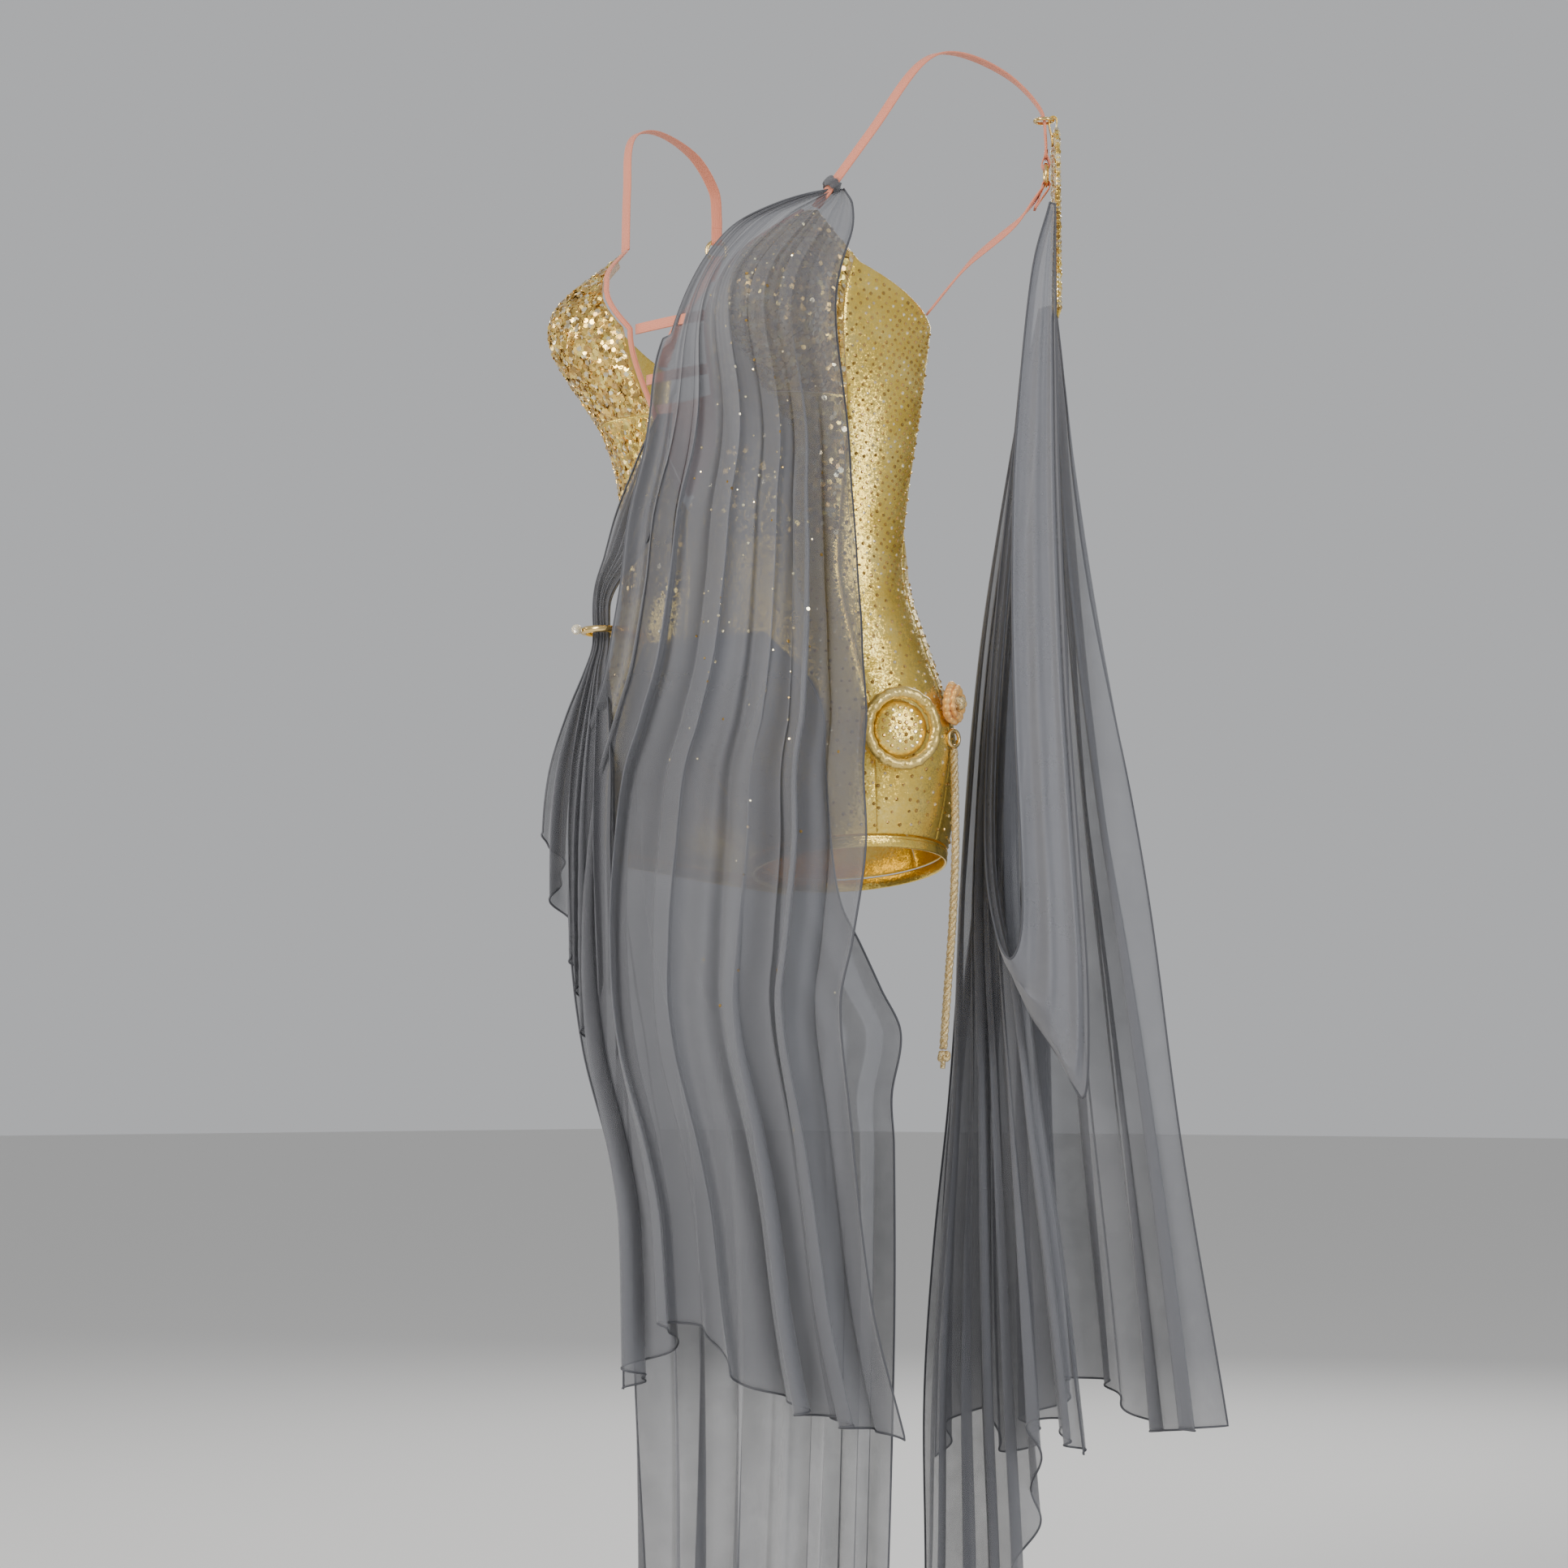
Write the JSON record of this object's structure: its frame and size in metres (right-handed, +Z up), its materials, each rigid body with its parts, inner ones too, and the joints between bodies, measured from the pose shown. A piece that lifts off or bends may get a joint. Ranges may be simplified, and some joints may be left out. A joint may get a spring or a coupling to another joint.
{
  "type": "gymnastics and dance costume",
  "caption": "Gold stretch bodysuit with nude straps, a long grey chiffon front drape, a hip cord and a chiffon shoulder cape, held as worn.",
  "frame": {"origin": "midway between the two points where the straps cross the shoulders", "axes": "+Z up, the wearer faces -Y, the wearer's left is +X"},
  "size_m": [0.4879, 0.3234, 1.2357],
  "materials": {
    "gold_foil": "metallic foil stretch fabric with small stones",
    "foam": "matte moulded foam",
    "elastic": "matte coral elastic",
    "nude_mesh": "matte fine power mesh",
    "gilt_metal": "polished gilt",
    "crystal": "faceted clear",
    "glitter_cord": "twisted glitter yarn",
    "chiffon": "sheer matte charcoal chiffon",
    "crystal_band": "gold band covered with stones"
  },
  "bodies": {
    "costume": {"left_cup_shell": "gold_foil", "left_cup_pad": "foam", "left_front_panel": "gold_foil", "left_side_panel": "gold_foil", "left_back_panel": "gold_foil", "left_inner_leg_panel": "gold_foil", "left_leg_hem_band": "gold_foil", "left_neckline_binding": "elastic", "left_front_strap": "elastic", "left_strap_ring": "gilt_metal", "left_back_strap": "elastic", "right_cup_shell": "gold_foil", "right_cup_pad": "foam", "right_front_panel": "gold_foil", "right_side_panel": "gold_foil", "right_back_panel": "gold_foil", "right_inner_leg_panel": "gold_foil", "right_leg_hem_band": "gold_foil", "right_neckline_binding": "elastic", "right_front_strap": "elastic", "right_strap_ring": "gilt_metal", "right_back_strap": "elastic", "neckline_mesh_insert": "nude_mesh", "upper_bridge_bar": "elastic", "lower_bridge_bar": "elastic", "hip_ring_tab": "gold_foil", "hip_disc_pad": "gold_foil", "hip_disc_rim": "gold_foil", "hip_rosette": "gold_foil", "rosette_knot": "glitter_cord", "front_drape": "chiffon", "under_drape": "chiffon", "hip_drape": "chiffon", "drape_keeper": "chiffon"},
    "hip_ring_body": {"hip_ring": "gilt_metal", "hip_ring_bead": "crystal"},
    "cord_keeper_body": {"cord_keeper_ring": "gilt_metal"},
    "hip_cord_body": {"hip_cord": "glitter_cord", "cord_knot": "glitter_cord"},
    "cape_body": {"cape_loop": "gilt_metal", "cape_band": "crystal_band", "cape_outer_layer": "chiffon", "cape_swag_layer": "chiffon", "cape_train_layer": "chiffon"}
  },
  "joints": [
    {"name": "hip_ring_tilt", "type": "hinge", "parent": "costume", "child": "hip_ring_body", "pos_m": [-0.07252, -0.11981, -0.428], "axis": [-0.9252, 0.3794, 0], "range_deg": [0, 15]},
    {"name": "cord_keeper_swing", "type": "hinge", "parent": "costume", "child": "cord_keeper_body", "pos_m": [0.15656, -0.00701, -0.5095], "axis": [0, -1, 0], "range_deg": [0, 45]},
    {"name": "cord_sway", "type": "hinge", "parent": "cord_keeper_body", "child": "hip_cord_body", "pos_m": [0.15656, -0.00701, -0.5215], "axis": [1, 0, 0], "range_deg": [-8, 12]},
    {"name": "cape_swing", "type": "hinge", "parent": "costume", "child": "cape_body", "pos_m": [0.17069, 0.08835, -0.03593], "axis": [0.6691, -0.7431, 0], "range_deg": [0, 30]}
  ]
}
